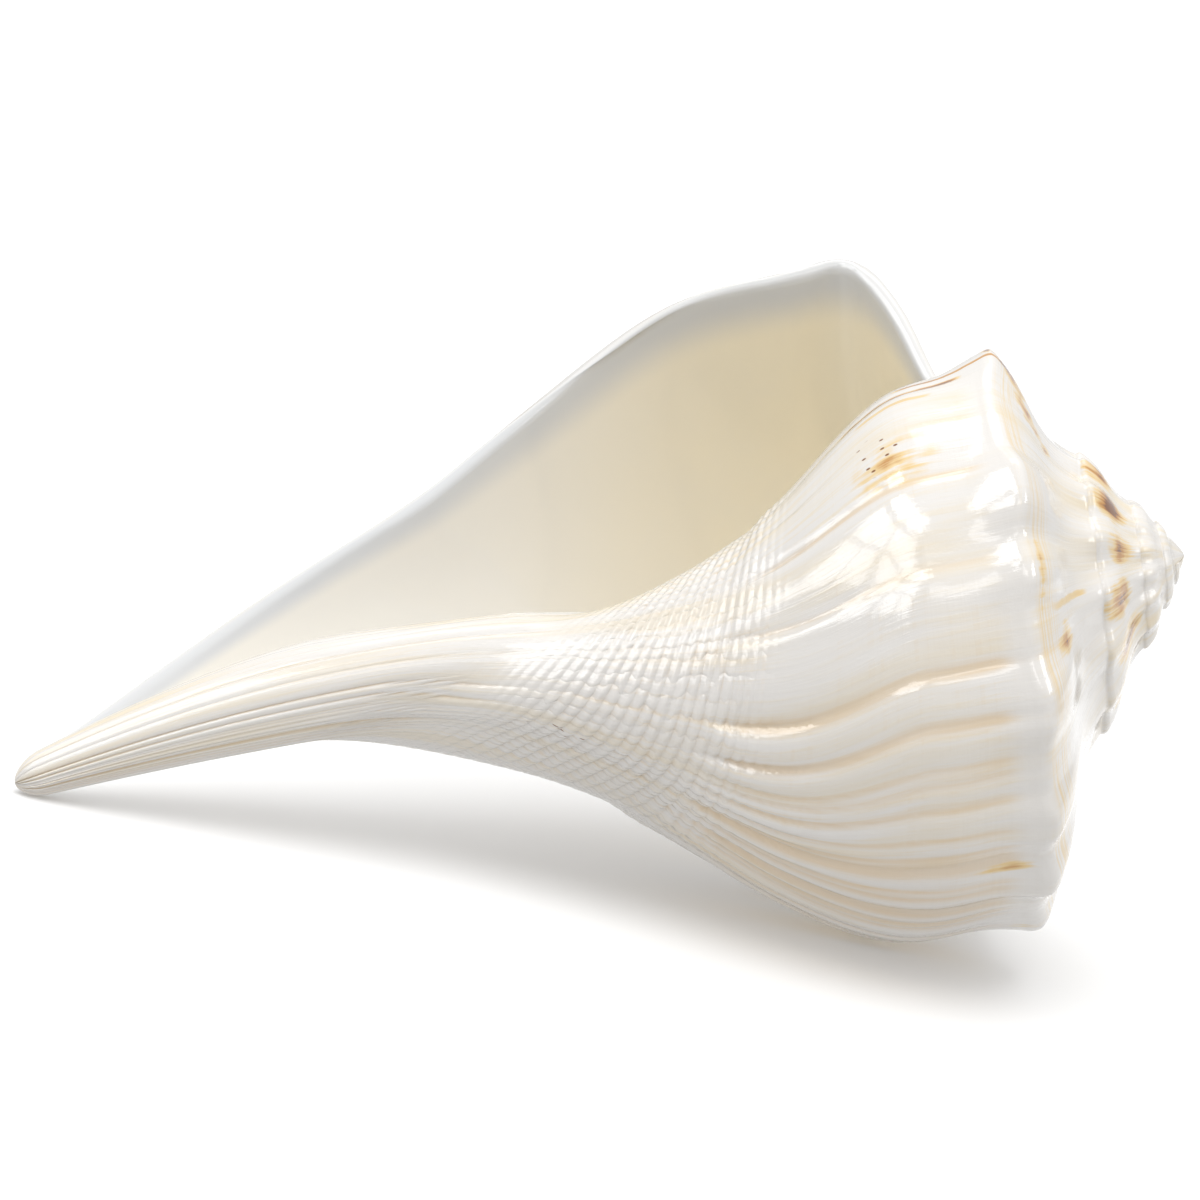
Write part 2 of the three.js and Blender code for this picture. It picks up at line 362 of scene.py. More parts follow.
def knobRelief(turn):
    late = sum(h * np.exp(-(np.abs((turn - t) / w) ** 3)) for t, h, w in knobs)
    uneven = sum(size * np.sin(rate * turn + start) for size, rate, start in relief["earlyWaves"])
    uneven = uneven * smoothStep(*relief["earlyUneven"], turn)
    phase = relief["earlyKnobs"] * (turn + relief["earlyStart"]) + uneven
    early = relief["earlyHeight"] * (0.5 + 0.5 * np.cos(2 * math.pi * phase)) ** 1.1
    for lost, start, end in relief["earlyFading"]:
        early = early * (1 - lost * smoothStep(start, end, turn))
    return mix(early, late, smoothStep(*relief["lastKnobs"], turn))


# Depth of the growth pauses at a turn: a slow fall, then a sharp step up.
def pauseGroove(turn, fall):
    groove = 0
    for t, depth in pauses:
        x = turn - t
        groove = groove + depth * np.exp(-np.where(x < 0, -x / fall, x / relief["pauseRise"]))
    return groove


# The pauses are shallow at the shoulder and nearly gone under the cords of the neck.
def pauseShare(below):
    shoulderLoss, neckLoss, canalShare = relief["pauseLoss"]
    onCanal = smoothStep(*relief["canalStart"], below)
    atNeck = smoothStep(*relief["neckStart"], below) * (1 - canalShare * onCanal)
    offShoulder = smoothStep(0, relief["shoulderEnd"], below)
    return (1 - shoulderLoss + shoulderLoss * offShoulder) * (1 - neckLoss * atNeck)


def cordRelief(turn, below):
    lost, start, end = relief["cordLoss"]
    full = window(below, *relief["cordZone"]) * (1 - lost * smoothStep(start, end, turn))
    number = cordNumber(below)
    fromGroove = np.abs(number - np.rint(number))
    return relief["cordHeight"] * full * np.minimum(relief["cordRows"] * fromGroove, 1)


# Everything that stands out of the body below the shoulder, in shoulder radii.
def bodyRelief(turn, below):
    x = below / shell["shoulder"]
    lines = growthTurn(turn, below)
    knob = knobRelief(turn) * hump(x, 0, relief["knobReach"])
    fold = relief["foldShare"] * knobRelief(lines) * hump(x, 0, relief["foldReach"])
    depth = pauseGroove(lines, relief["pauseFall"])
    endDepth, most = relief["noseDepth"]
    noses = window(below, *relief["noseZone"]) * (1 - np.minimum(depth / endDepth, most))
    slim = sum(d * hump(turn, t, w) * window(below, *zone) for d, t, w, zone in slimmer)
    fine = relief["noseHeight"] * noses + cordRelief(turn, below) - depth * pauseShare(below)
    return knob + fold + window(turn, *relief["foldedTurns"]) * (fine - slim)


def knobLean(turn, below):
    near = hump(below / shell["shoulder"], 0, relief["leanReach"])
    near = near * mix(relief["earlyLean"], 1, smoothStep(*relief["lastKnobs"], turn))
    return relief["knobLean"] * shell["shoulder"] * girth(turn) * knobRelief(turn) * near


def skin(turn, row):
    end = np.where(turn < -1, hollowEnd(turn + 1), hollowEnd(0))
    height, radius = plainSection(turn, row, end)
    size = shell["shoulder"] * girth(turn)
    below = np.maximum(height - shoulderHeight(turn), 0) / girth(turn)
    onBody = row >= rampRows
    radius = radius + np.where(onBody, size * bodyRelief(turn, below), 0)
    # On the ramp the whorl above hands over its knobs and the own ones grow.
    share = rampStations[np.clip(row, 0, rampRows)]
    fromAbove = (1 - share) ** relief["aboveFade"]
    own = share ** mix(*relief["ownGrow"], smoothStep(*relief["ownTurns"], turn))
    above = shell["shoulder"] * girth(turn - 1) * bodyRelief(turn - 1, sutureBelow)
    radius = radius + np.where(onBody, 0, above * fromAbove + size * bodyRelief(turn, 0 * share) * own)
    leanOnRamp = knobLean(turn - 1, sutureBelow) * fromAbove + knobLean(turn, 0) * own
    height = height - np.where(onBody, knobLean(turn, below), leanOnRamp)
    flared = flareOut(turn, np.where(onBody, 1, share), below)
    radius = np.where(row >= tipRow, 0, radius + flared[1])
    height = np.where(row >= tipRow, shell["length"], height + flared[0])
    return height, radius


def innerFace(turn, row):
    end = hollowEnd(turn)
    body = np.clip((row - rampRows) / bodyRows, 0, 1)
    deepCorner, lipCorner = shell["insideCorner"]
    corner = mix(deepCorner, lipCorner, lipShare(turn))

    def plain(s):
        height = shoulderHeight(turn) + (end - shoulderHeight(turn)) * np.maximum(s - 1, 0)
        return roundedSection(turn, s, height, corner)

    s = row / rampRows * (row < rampRows) + (row >= rampRows) * (1 + body)
    height, radius = plain(s)
    shift = 0.01  # step along the section that gives its direction
    before, after = plain(np.maximum(s - shift, 0)), plain(s + shift)
    along = np.hypot(after[0] - before[0], after[1] - before[1])
    thick = shell["wall"] - (shell["wall"] - shell["lip"]) * np.exp(turn / shell["lipThinning"])
    below = np.maximum(height - shoulderHeight(turn), 0) / girth(turn)
    flared = flareOut(turn, np.minimum(s, 1), below)
    inHeight = height + thick * (after[1] - before[1]) / along + 0.5 * flared[0]
    inRadius = radius - thick * (after[0] - before[0]) / along + 0.5 * flared[1]
    # The inner face keeps clear of the whorl before it, which is the inner wall of the hollow.
    coreBelow = (inHeight - shoulderHeight(turn - 1)) / girth(turn - 1)
    core = bodyRadius(turn - 1, inHeight)
    core = core + shell["shoulder"] * girth(turn - 1) * bodyRelief(turn - 1, np.maximum(coreBelow, 0))
    gap = inRadius - core
    easing = 0.1  # square mm; rounds the line where the two meet
    closing = 8  # power with which the hollow closes at its end
    radius = core + 0.5 * (gap + np.sqrt(gap**2 + easing)) * np.sqrt(1 - body**closing)
    coreHeight, coreRadius = skin(turn - 1, np.full_like(row, innerRow))
    endHeight, endRadius = skin(turn - 1, np.full_like(row, mouthRow))
    inHeight = np.where(row == 0, coreHeight, np.where(row == mouthRow, endHeight, inHeight))
    radius = np.where(row == 0, coreRadius, np.where(row == mouthRow, endRadius, radius))
    return inHeight, radius


# A height and radius at a turn as a point of the shell's own frame, which has the canal at minus X.
def place(point, turn):
    height, radius = point
    amount, start, curve = shell["twist"]
    lag = amount * np.maximum((height - start) / (shell["length"] - start), 0) ** curve
    azimuth = np.radians(shell["lipAzimuth"] - 360 * turn + lag)
    return np.stack(
        [-height, -radius * np.cos(azimuth), radius * np.sin(azimuth) + bendCurve(height)], axis=-1
    )


# Amber stains: turn, mm below the shoulder or minus above it, half sizes in turns and mm, strength.
stains = [
    (-0.75, 34, 0.03, 18, 0.40), (-0.61, -16, 0.014, 6, 0.8), (-0.66, -5, 0.03, 2.2, 0.6),
    (-0.48, 8, 0.004, 12, 0.5), (-0.40, 4, 0.003, 8, 0.3),
]
rampStreak = {
    "from": (-0.855, -4), "to": (-0.785, -24), "spots": 15, "size": (0.009, 3.2),
    "strength": 1.05, "uneven": (0.8, 1.1),
}
spireBlots = {
    "from": -1.82, "to": -1.38, "spacing": 0.07, "above": 19, "aside": 6, "size": (0.03, 17),
    "strength": (0.95, 1.25), "seed": 3,
}
# Patches with small dark pits: turn, mm below the shoulder, half sizes in turns and mm.
pitPatches = [(-0.765, 38, 0.022, 9), (-0.49, 112, 0.012, 8)]
# Old growth lines stained brown: turn, half width in turns, from and to mm below, strength.
agedLines = [
    (-0.83, 0.0035, 12, 46, 1.0), (-0.842, 0.0025, -6, 26, 0.85), (-0.815, 0.003, 22, 40, 0.5),
    (-0.635, 0.004, -30, -14, 0.5), (-0.852, 0.004, -34, -6, 0.9),
]


def allStains():
    rng = np.random.default_rng(spireBlots["seed"])
    spots = list(stains)
    for share in np.linspace(0, 1, rampStreak["spots"]):
        middle = [mix(a, b, share) for a, b in zip(rampStreak["from"], rampStreak["to"])]
        strength = rampStreak["strength"] * rng.uniform(*rampStreak["uneven"])
        spots.append((*middle, *rampStreak["size"], strength))
    for turn in np.arange(spireBlots["from"], spireBlots["to"], spireBlots["spacing"]):
        above = -spireBlots["above"] + rng.uniform(-spireBlots["aside"], spireBlots["aside"])
        spots.append((turn, above, *spireBlots["size"], rng.uniform(*spireBlots["strength"])))
    return spots


def stainField(turn, below):
    total = 0 * turn
    for atTurn, atBelow, turnSize, belowSize, strength in allStains():
        reach = np.hypot((turn - atTurn) / turnSize, (below - atBelow) / belowSize)
        total = np.maximum(total, strength * (1 - smoothStep(0.0, 1.25, reach)))
    return total


# Adds a grid of columns by rows to the bmesh; shape gives the points and the maps of the grid.
def makeSheet(target, columns, rows, shape, outward):
    bm = bmesh.new()
    bmesh.ops.create_grid(bm, x_segments=len(columns) - 1, y_segments=len(rows) - 1, size=1)
    mesh = bpy.data.meshes.new("sheet")
    bm.to_mesh(mesh)
    bm.free()
    flat = np.empty(len(mesh.vertices) * 3)
    mesh.vertices.foreach_get("co", flat)
    flat = flat.reshape(-1, 3)
    column = np.rint((flat[:, 0] + 1) / 2 * (len(columns) - 1)).astype(int)
    row = np.rint((flat[:, 1] + 1) / 2 * (len(rows) - 1)).astype(int)
    points, maps = shape(columns[column], rows[row])
    mesh.vertices.foreach_set("co", points.ravel())
    corner = np.empty(len(mesh.loops), int)
    mesh.loops.foreach_get("vertex_index", corner)
    for name, values in maps.items():
        uv = mesh.uv_layers.new(name=name)
        uv.data.foreach_set("uv", values[corner].astype(np.float32).ravel())
    if not outward:
        mesh.flip_normals()
    target.from_mesh(mesh)
    bpy.data.meshes.remove(mesh)


# The turn of a growth step; the steps are closer over the middle of each turn.
def stepTurn(step):
    whole = np.floor(step / shell["stepsPerTurn"])
    return whole + np.interp(step / shell["stepsPerTurn"] - whole, *shell["stepShares"])


# What the shader reads: stain; turn and mm below; growth line and cord; inside and groove, whose tan is
# partly stain and partly painted shade.
def uvMaps(turn, below, lines, phase, inside, groove, stain=0):
    return {
        "stain": np.stack([turn * 0 + stain, turn * 0], -1),
        "growth": np.stack([turn, below], -1),
        "lines": np.stack([lines, phase], -1),
        "insideAndGroove": np.stack([inside, groove], -1),
    }


def innerMaps(turn, height, inside):
    return uvMaps(turn, height, turn, height / 8, inside, 0 * turn)


def skinSheet(turn, row):
    height, radius = skin(turn, row)
    below = (height - shoulderHeight(turn)) / girth(turn)
    lines = growthTurn(turn, np.maximum(below, 0))
    share = rampStations[np.clip(row, 0, rampRows)]
    below = np.where(row <= rampRows, (share - 1) * rampMap, below)
    # Tan in the growth pauses: partly stain, partly painted shade in the grooves.
    groove = pauseGroove(lines, relief["stainShadeFall"]) / relief["stainShadeDepth"] * pauseShare(below)
    maps = uvMaps(turn, below, lines, cordNumber(below), 0 * turn, groove, stainField(turn, below))
    return place((height, radius), turn), maps


def innerSheet(turn, row):
    height, radius = innerFace(turn, row)
    return place((height, radius), turn), innerMaps(turn, height, turn * 0 + 1)


# The whorl before, where it is the inner wall of the hollow.
def coreSheet(turn, row):
    height, radius = skin(turn, row)
    return place((height, radius), turn), innerMaps(turn + 1, height, turn * 0 + 1)


# From the skin round the lip to the inner face.
def rimSheet(step, row):
    zero = np.zeros(len(row))
    outer = np.array(skin(zero, row))
    inside = np.array(innerFace(zero, np.minimum(row, mouthRow)))
    inner = np.where(row <= mouthRow, inside, np.array(skin(zero - 1, row)))
    share = step / rimSteps
    points = outer + (inner - outer) * share
    width = np.minimum(np.hypot(*(inner - outer)), shell["wall"])
    bulge = shell["rimBulge"] * width * np.sin(share * math.pi) * (row < tipRow)
    azimuthStep = bulge / np.maximum(points[1], 1) / (2 * math.pi)
    maps = innerMaps(zero, points[0], smoothStep(0, 0.6, share) * (row <= mouthRow))
    # The suture end of the rim follows the whorl before it.
    first = np.array(skin(zero - 1, (sutureRow + step).astype(int)))
    points = np.where(row == 0, first, points)
    azimuthStep = np.where(row == 0, 0, azimuthStep)
    return place(points, azimuthStep), maps


# Closes the hollow at its deep end.
def septumSheet(share, row):
    deepest = np.full(len(row), -shell["mouthTurns"])
    outer = np.array(innerFace(deepest, row))
    coreRow = innerRow + np.rint(row / mouthRow * (mouthRow - innerRow)).astype(int)
    core = np.array(skin(deepest - 1, coreRow))
    points = outer + (core - outer) * share
    return place(points, deepest), innerMaps(deepest, points[0], deepest * 0 + 1)


# The rounded first whorl at the apex, from the start of the spiral to the pole.
def capSheet(along, across):
    steps = shell["stepsPerTurn"]
    firstStep = round(shell["firstTurn"] * steps)
    onSpiral = along <= steps
    turn = np.where(onSpiral, stepTurn(firstStep + np.minimum(along, steps)), stepTurn(firstStep))
    row = np.where(onSpiral, 0, sutureRow + steps - along).astype(int)
    ring = place(skin(turn, row), turn)
    inward = 1 - across
    points = ring * inward[:, None]
    points[:, 0] = mix(ring[:, 0], shell["firstRise"], 1 - inward**1.3)
    points = np.where((across == 0)[:, None], ring, points)
    return points, uvMaps(turn, across * 0 - rampMap, turn, turn * 0, turn * 0, turn * 0)


def buildShell():
    steps = shell["stepsPerTurn"]
    lastTurn = stepTurn(np.arange(-steps, 1))
    spireTurns = stepTurn(np.arange(round(shell["firstTurn"] * steps), -steps + 1))
    mouthSteps = np.linspace(0, 1, 55)
    inTurns = -shell["mouthTurns"] * (1 - mouthSteps) ** 1.5  # closer near the lip
    inTurns[-1] = 0
    skinRows = np.arange(tipRow + 1)
    mouthRows = np.arange(mouthRow + 1)
    bm = bmesh.new()
    makeSheet(bm, lastTurn, skinRows, skinSheet, False)
    makeSheet(bm, spireTurns, np.arange(sutureRow + 1), skinSheet, False)
    makeSheet(bm, inTurns - 1, np.arange(innerRow, mouthRow + 1), coreSheet, False)
    makeSheet(bm, inTurns, mouthRows, innerSheet, True)
    makeSheet(bm, np.arange(rimSteps + 1), skinRows, rimSheet, False)
    makeSheet(bm, np.linspace(0, 1, 3), mouthRows, septumSheet, False)
    makeSheet(bm, np.arange(steps + sutureRow + 1), np.linspace(0, 1, 6), capSheet, True)
    bmesh.ops.remove_doubles(bm, verts=bm.verts, dist=0.002)
    bmesh.ops.dissolve_degenerate(bm, edges=bm.edges, dist=0.0005)
    for face in bm.faces:
        face.smooth = True
    openEdges = sum(1 for edge in bm.edges if len(edge.link_faces) != 2)
    badEdges = sum(1 for edge in bm.edges if not edge.is_contiguous)
    print("shell faces", len(bm.faces), "open edges", openEdges, "flipped", badEdges)
    print("shell volume", bm.calc_volume())
    return bm


# The lying pose: the underside faces down and the apex points to +X.
up = -Vector(shell["underside"]).normalized()
towardsApex = (Vector((1, 0, 0)) - up * up.x).normalized()
across = up.cross(towardsApex)
lying = Matrix((towardsApex, across, up)).to_4x4()

shellBm = buildShell()
bmesh.ops.transform(shellBm, matrix=Matrix.Scale(0.001, 4) @ lying, verts=shellBm.verts)
corners = np.array([v.co for v in shellBm.verts])
low, high = corners.min(0), corners.max(0)
target = (shellLow + shellHigh) / 2
middle = (low + high) / 2
offset = Vector((target.x - middle[0], target.y - middle[1], shellLow.z - low[2]))
bmesh.ops.translate(shellBm, vec=offset, verts=shellBm.verts)
shellMesh = bpy.data.meshes.new("conchShell")
shellBm.to_mesh(shellMesh)
shellBm.free()
conch = bpy.data.objects.new("conchShell", shellMesh)
bpy.context.scene.collection.objects.link(conch)
print("shell built", len(shellMesh.vertices), "size", high - low)


# A node's output that takes part in Python expressions.
class Wire:
    def __init__(self, paint, socket):
        self.paint = paint
        self.socket = socket

    def sum(self, kind, *values):
        return self.paint.node("ShaderNodeMath", {"operation": kind}, values)

    def __add__(self, other):
        return self.sum("ADD", self, other)

    __radd__ = __add__

    def __sub__(self, other):
        return self.sum("SUBTRACT", self, other)

    def __rsub__(self, other):
        return self.sum("SUBTRACT", other, self)

    def __mul__(self, other):
        return self.sum("MULTIPLY", self, other)

    __rmul__ = __mul__

    def __truediv__(self, other):
        return self.sum("DIVIDE", self, other)

    def __rtruediv__(self, other):
        return self.sum("DIVIDE", other, self)

    def __pow__(self, other):
        return self.sum("POWER", self, other)


class Paint:
    def __init__(self, name):
        self.material = bpy.data.materials.new(name)
        self.material.use_nodes = True
        self.tree = self.material.node_tree
        self.shader = self.tree.nodes["Principled BSDF"]

    # Adds a node: its settings first, then values or links, by order or by socket name.
    def node(self, kind, settings=None, inputs=(), output=0):
        made = self.tree.nodes.new(kind)
        for key, value in (settings or {}).items():
            setattr(made, key, value)
        pairs = inputs.items() if isinstance(inputs, dict) else enumerate(inputs)
        for key, value in pairs:
            self.feed(made.inputs[key], value)
        return Wire(self, made.outputs[output])

    def feed(self, socket, value):
        if isinstance(value, Wire):
            self.tree.links.new(value.socket, socket)
        else:
            socket.default_value = value

    def map(self, name):
        uv = self.node("ShaderNodeUVMap", {"uv_map": name})
        first = self.node("ShaderNodeSeparateXYZ", {}, [uv])
        return first, Wire(self, first.socket.node.outputs[1])

    def vector(self, x, y, z=0.0):
        return self.node("ShaderNodeCombineXYZ", {}, [x, y, z])

    def noise(self, vector, scale=1.0, detail=2.0, rough=0.5):
        inputs = {"Vector": vector, "Scale": scale, "Detail": detail, "Roughness": rough}
        return self.node("ShaderNodeTexNoise", {}, inputs)

    # Round ridges with narrow grooves at the whole numbers.
    def ridge(self, value):
        fromGroove = self.node("ShaderNodeMath", {"operation": "PINGPONG"}, [value, 0.5]) * 2
        return 1 - (1 - fromGroove) ** 2.2

    def step(self, value, low, high):
        settings = {"interpolation_type": "SMOOTHSTEP"}
        inputs = {"Value": value, "From Min": low, "From Max": high}
        return self.node("ShaderNodeMapRange", settings, inputs)

    # Colour mix from first to second.
    def blend(self, share, first, second):
        made = self.node("ShaderNodeMix", {"data_type": "RGBA"}, {0: share}, 2)
        self.feed(made.socket.node.inputs[6], first)
        self.feed(made.socket.node.inputs[7], second)
        return made


finish = {
    "white": (0.725, 0.70, 0.668, 1),
    "cream": (0.73, 0.64, 0.485, 1),
    "tan": (0.68, 0.50, 0.285, 1),
    "honey": (0.74, 0.55, 0.27, 1),
    "amber": (0.50, 0.235, 0.05, 1),
    "brown": (0.19, 0.065, 0.012, 1),
    "insideDeep": (0.96, 0.875, 0.68, 1),
    "insidePale": (0.84, 0.81, 0.745, 1),
    "lipWhite": (0.63, 0.645, 0.665, 1),
    "roughness": 0.06,
    "grain": 0.10,  # heights of the fine relief and of the rounding and beads of the cords, in mm
    "ribs": 0.15,
    "ior": 1.53,
    "coat": (0.5, 0.03),  # weight and roughness
    "olderFrom": (-0.72, -0.735),  # before this turn the last whorl is creamier
    "ownTurns": (-1.0, -0.98),  # from this turn on it has the marks of the last whorl
    "enamelAbove": (-2.0, 1.0),  # the edge of the shoulder is plain white between these, in mm below
    "enamelBelow": (11.0, 4.0),
    "honeyRamp": (-1.0, -4.0, -14.0, -6.0),  # the ramp's honey lines start, are full, and end so far up
    "honeyStain": (0.08, 0.5),  # strengths of a stain over which each colour comes in
    "amberStain": (0.45, 0.9),
    "brownStain": (0.85, 1.15),
    "pitSize": (0.13, 0.07),
    "deepInside": (118.0, 52.0),  # heights along the axis between the pale and the deep cream
    "lipBand": (-0.024, -0.004),
    "smoothCanal": (150.0, 170.0),
}


def makeShellMaterial():
    paint = Paint("shellPorcelain")
    turn, below = paint.map("growth")
    lines, phase = paint.map("lines")
    inside, groove = paint.map("insideAndGroove")
    stain = paint.map("stain")[0]
    onShell = paint.node("ShaderNodeTexCoord", {}, (), 3)  # object coordinates

    cloud = paint.noise(onShell, 28.0, 3.0, 0.55)
    ripple = paint.noise(onShell, 160.0, 2.0, 0.5)
    broad = paint.noise(paint.vector(lines * 26, below * 0.012), 1.0, 2.0)
    fine = paint.noise(paint.vector(lines * 230, below * 0.03, turn), 1.0, 4.0, 0.6)
    spiral = paint.noise(paint.vector(lines * 7, below * 0.55), 1.0, 2.0, 0.5)

    # Outside: white, with cream growth bands, tan in the grooves that is partly stain and partly painted
    # shade, and older amber parts.
    older = paint.step(turn, *finish["olderFrom"])
    bands = paint.step(broad + fine * 0.5, 0.66, 0.95)
    outside = paint.blend(bands * (0.55 + older * 0.4), finish["white"], finish["cream"])
    streaks = paint.step(fine, 0.52, 0.72) * paint.step(cloud, 0.35, 0.65)
    outside = paint.blend(streaks * (0.5 + older * 0.3), outside, finish["cream"])
    # Fine spiral cords round the neck, beaded where the growth lines cross them.
    rise, full, fade, gone = relief["cordZone"]
    neck = paint.step(below, rise, full) * paint.step(below, gone, fade) * paint.step(turn, -1.0, -0.97)
    lost, fadeStart, fadeEnd = relief["cordLoss"]
    neck = neck * (1 - lost + lost * paint.step(turn, fadeEnd, fadeStart)) * (1 - inside)
    rib = paint.ridge(phase)
    uneven = paint.noise(paint.vector(lines * 40, phase * 0.8), 1.0, 1.0, 0.5)
    bead = paint.ridge(lines * relief["beadsPerTurn"] + uneven * 1.6)

    weave = paint.step(spiral, 0.52, 0.70) * paint.step(fine, 0.45, 0.6)
    outside = paint.blend(weave * 0.10, outside, finish["tan"])
    # Tan in the pauses and between the cords and their beads: partly stain, partly painted shade in the
    # grooves.
    pauseStainAndShade = paint.step(groove + fine * 0.6 + neck * (1 - rib * bead) * uneven * 0.8, 0.5, 1.3)
    outside = paint.blend(pauseStainAndShade * (0.25 + cloud * 0.6), outside, finish["tan"])
    enamel = paint.step(below, *finish["enamelBelow"]) * paint.step(below, *finish["enamelAbove"])
    enamel = enamel * paint.step(turn, *finish["ownTurns"])
    outside = paint.blend(enamel * 0.8, outside, finish["white"])
    rampStart, rampFull, rampEnd, rampFade = finish["honeyRamp"]
    ramp = paint.step(below, rampStart, rampFull) * paint.step(below, rampEnd, rampFade)
    ramp = ramp * paint.step(turn, *finish["ownTurns"])
    rampLines = paint.noise(paint.vector(turn * 14, below * 1.6), 1.0, 3.0, 0.6)
    outside = paint.blend(ramp * paint.step(rampLines, 0.42, 0.62) * 0.7, outside, finish["honey"])

    warp = (ripple - 0.5) * 1.5 + (fine - 0.5) * 1.5
    spread = stain + warp * paint.step(stain, 0.0, 0.3)
    for atTurn, thick, start, end, strength in agedLines:
        across = (lines - atTurn + (ripple - 0.5) * 0.006) / thick
        along = paint.step(below, start - 6, start) * paint.step(below, end + 8, end)
        near = along * paint.step(across * across + (fine - 0.5) * 1.4, 1.2, 0.0)
        spread = spread + near * strength * (0.55 + ripple)
    outside = paint.blend(paint.step(spread, *finish["honeyStain"]), outside, finish["honey"])
    outside = paint.blend(paint.step(spread, *finish["amberStain"]), outside, finish["amber"])
    brown = paint.step(spread, *finish["brownStain"])
    cells = {"Vector": paint.vector(turn * 110, below * 0.15), "Scale": 1.0}
    cellDistance = paint.node("ShaderNodeTexVoronoi", {"voronoi_dimensions": "2D"}, cells)
    pit = paint.step(cellDistance, *finish["pitSize"])
    for atTurn, atBelow, turnSize, belowSize in pitPatches:
        across = (turn - atTurn) / turnSize
        along = (below - atBelow) / belowSize
        brown = brown + pit * paint.step(across * across + along * along, 1.0, 0.7)
    outside = paint.blend(brown, outside, finish["brown"])

    # Inside, where below is the height along the axis: cream deep in the whorl, paler down the
    # canal, bluish white at the lip.
    deep = paint.step(below, *finish["deepInside"])
    inner = paint.blend(deep, finish["insidePale"], finish["insideDeep"])
    inner = paint.blend(paint.step(cloud, 0.4, 0.7) * 0.25, inner, finish["insidePale"])
    lip = paint.step(turn, *finish["lipBand"])
    inner = paint.blend(lip * 0.9, inner, finish["lipWhite"])
    colour = paint.blend(inside, outside, inner)
    paint.feed(paint.shader.inputs["Base Color"], colour)

    roughness = finish["roughness"] + (1 - inside) * ((fine - 0.4) * 0.08 + pauseStainAndShade * 0.10)
    paint.feed(paint.shader.inputs["Roughness"], roughness)

    onCanal = 1 - paint.step(below, *finish["smoothCanal"]) * 0.5
    height = (fine * onCanal + spiral * 0.3 + ripple * 0.2) * (1 - inside * 0.93)
    height = height * finish["grain"] + neck * (rib + bead * 0.9) * (0.5 + uneven) * finish["ribs"]
    bump = paint.node("ShaderNodeBump", {}, {"Strength": 1.0, "Distance": 0.001, "Height": height})
    paint.feed(paint.shader.inputs["Normal"], bump)
    paint.shader.inputs["IOR"].default_value = finish["ior"]
    paint.shader.inputs["Coat Weight"].default_value = finish["coat"][0]
    paint.shader.inputs["Coat Roughness"].default_value = finish["coat"][1]
    return paint.material


shellMesh.materials.append(makeShellMaterial())
print("shell painted")

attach(conch, "root")
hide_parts("shell")

studio = {
    "floorHalf": 6.0,  # metres
    "floorColour": (0.9, 0.9, 0.9, 1),
    "floorRoughness": 0.8,
    "worldStrength": 1.10,
    "lowLight": 0.68,  # brightness of the surroundings below, against 1 overhead
    "fullLight": 0.75,  # how far up that 1 starts
    "sunPower": 1.3,
    "sunFrom": (-0.15, -0.3, 1.0),
    "sunSpread": 50,
    "windowGlow": 4.0,
    "faintGlow": 2.4,  # for the panes above and in front
    "paneDistance": 1.6,
    "paneAim": (0.0, 0.0, 0.05),
    "leftColumns": (-92, -77, -59, -44),  # azimuths and elevations of the panes, in degrees
    "leftRows": (14, 29, 47),
    "rightColumns": (64, 80),
    "rightRow": 30,
    "paneSize": (13, 13),  # degrees wide and high
    "rightSize": (13, 16),
    "topPane": (180, 66, (40, 18)),
    "frontPane": (-8, 30, (26, 10)),
}

floorMesh = bpy.data.meshes.new("floor")
floorBm = bmesh.new()
bmesh.ops.create_grid(floorBm, x_segments=1, y_segments=1, size=studio["floorHalf"])
floorBm.to_mesh(floorMesh)
floorBm.free()
floor = bpy.data.objects.new("floor", floorMesh)
bpy.context.scene.collection.objects.link(floor)
floorMaterial = bpy.data.materials.new("floorPale")
floorMaterial.use_nodes = True
floorShader = floorMaterial.node_tree.nodes["Principled BSDF"]
floorShader.inputs["Base Color"].default_value = studio["floorColour"]
floorShader.inputs["Roughness"].default_value = studio["floorRoughness"]
floorMesh.materials.append(floorMaterial)
floor.visible_diffuse = False  # the floor takes shadows and throws no light up


def toWorld(point):  # from the shell's own frame, in mm, to the lying one
    return Matrix.Scale(0.001, 4) @ lying @ Vector(point) + offset


# The camera's place in the shell's own frame, in mm and degrees.
view = {
    "yaw": 2.7,
    "roll": 11.5,
    "distance": 1100.0,
    "aim": (-100.0, 0.0, 0.0),
    "slide": (-0.6, 12.2),
    "width": 201.0,  # what the view spans at the aim
    "sensor": 36,
}
yaw = math.radians(view["yaw"])
roll = math.radians(view["roll"])
forward = Vector((math.sin(yaw), math.cos(yaw), 0))
flatRight = Vector((math.cos(yaw), -math.sin(yaw), 0))
flatUp = Vector((0, 0, 1))
imageRight = math.cos(roll) * flatRight - math.sin(roll) * flatUp
imageUp = math.sin(roll) * flatRight + math.cos(roll) * flatUp
aim = Vector(view["aim"])
eye = aim - view["distance"] * forward
aim = aim + view["slide"][0] * imageRight + view["slide"][1] * imageUp
back = (eye - aim).normalized()
right = imageUp.cross(back).normalized()
turned = Matrix((right, back.cross(right), back)).transposed()
camera = bpy.data.objects.new("camera", bpy.data.cameras.new("camera"))
camera.data.sensor_width = view["sensor"]
camera.data.lens = view["sensor"] * view["distance"] / view["width"]
camera.data.clip_end = 50
bpy.context.scene.collection.objects.link(camera)
camera.matrix_world = Matrix.Translation(toWorld(eye)) @ (lying.to_3x3() @ turned).to_4x4()
bpy.context.scene.camera = camera

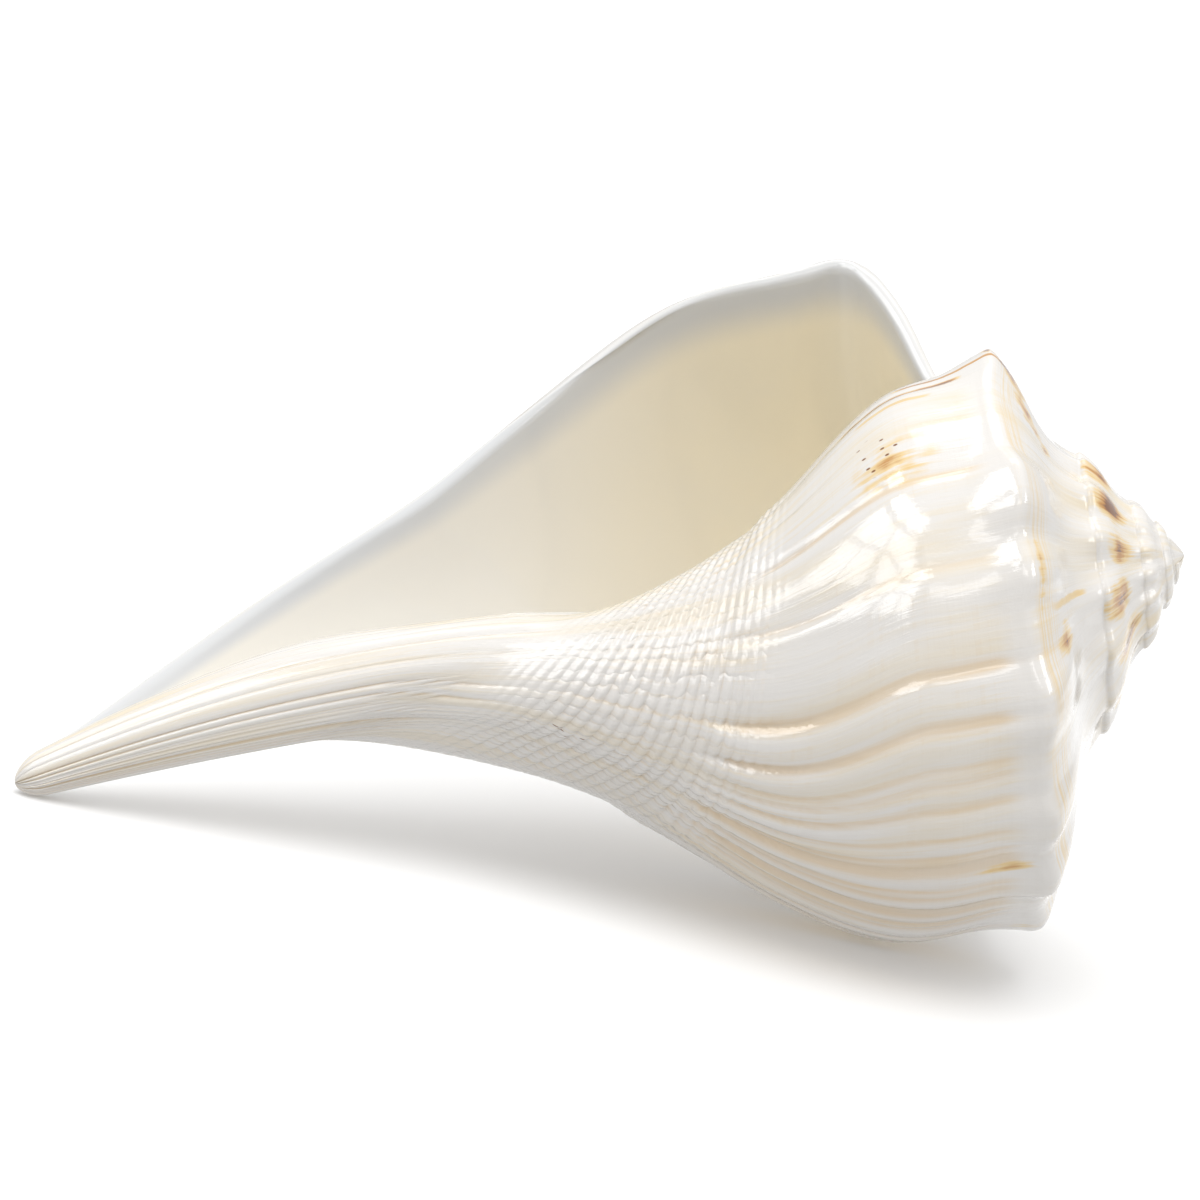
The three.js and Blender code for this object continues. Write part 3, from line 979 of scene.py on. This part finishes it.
world = bpy.data.worlds.new("studio")
world.use_nodes = True
worldNodes = world.node_tree.nodes
background = worldNodes["Background"]
background.inputs["Strength"].default_value = studio["worldStrength"]
direction = worldNodes.new("ShaderNodeTexCoord")
upward = worldNodes.new("ShaderNodeSeparateXYZ")
world.node_tree.links.new(direction.outputs["Generated"], upward.inputs[0])
fade = worldNodes.new("ShaderNodeValToRGB")  # dim below, bright overhead
world.node_tree.links.new(upward.outputs[2], fade.inputs[0])
world.node_tree.links.new(fade.outputs[0], background.inputs["Color"])
fade.color_ramp.elements[0].color = (*[studio["lowLight"]] * 3, 1)
fade.color_ramp.elements[1].color = (1, 1, 1, 1)
fade.color_ramp.elements[1].position = studio["fullLight"]
bpy.context.scene.world = world
bpy.context.scene.view_settings.view_transform = "Standard"

sun = bpy.data.objects.new("skylight", bpy.data.lights.new("skylight", "SUN"))
sun.data.energy = studio["sunPower"]
sun.data.angle = math.radians(studio["sunSpread"])
sun.rotation_euler = Vector(studio["sunFrom"]).to_track_quat("Z", "Y").to_euler()
sun.visible_glossy = False
bpy.context.scene.collection.objects.link(sun)


# A glowing pane seen from the shell, placed by angles in degrees; azimuth 0 is -Y, 90 is +X.
def windowPane(name, azimuth, elevation, size, glow):
    distance = studio["paneDistance"]
    width, height = size
    middle = Vector(studio["paneAim"])
    az, el = math.radians(azimuth), math.radians(elevation)
    out = Vector((math.sin(az) * math.cos(el), -math.cos(az) * math.cos(el), math.sin(el)))
    data = bpy.data.lights.new(name, "AREA")
    data.shape = "RECTANGLE"
    data.size = 2 * distance * math.tan(math.radians(width / 2))
    data.size_y = 2 * distance * math.tan(math.radians(height / 2))
    data.energy = glow * math.pi * data.size * data.size_y
    lamp = bpy.data.objects.new(name, data)
    lamp.location = middle + out * distance
    lamp.rotation_euler = out.to_track_quat("Z", "Y").to_euler()
    lamp.visible_diffuse = False
    lamp.visible_camera = False
    bpy.context.scene.collection.objects.link(lamp)


for column, azimuth in enumerate(studio["leftColumns"]):
    for row, elevation in enumerate(studio["leftRows"]):
        name = "leftPane%d%d" % (column, row)
        windowPane(name, azimuth, elevation, studio["paneSize"], studio["windowGlow"])
for column, azimuth in enumerate(studio["rightColumns"]):
    name = "rightPane%d" % column
    windowPane(name, azimuth, studio["rightRow"], studio["rightSize"], studio["windowGlow"])
windowPane("topPane", *studio["topPane"], studio["faintGlow"])
windowPane("frontPane", *studio["frontPane"], studio["faintGlow"])
print("studio lit")
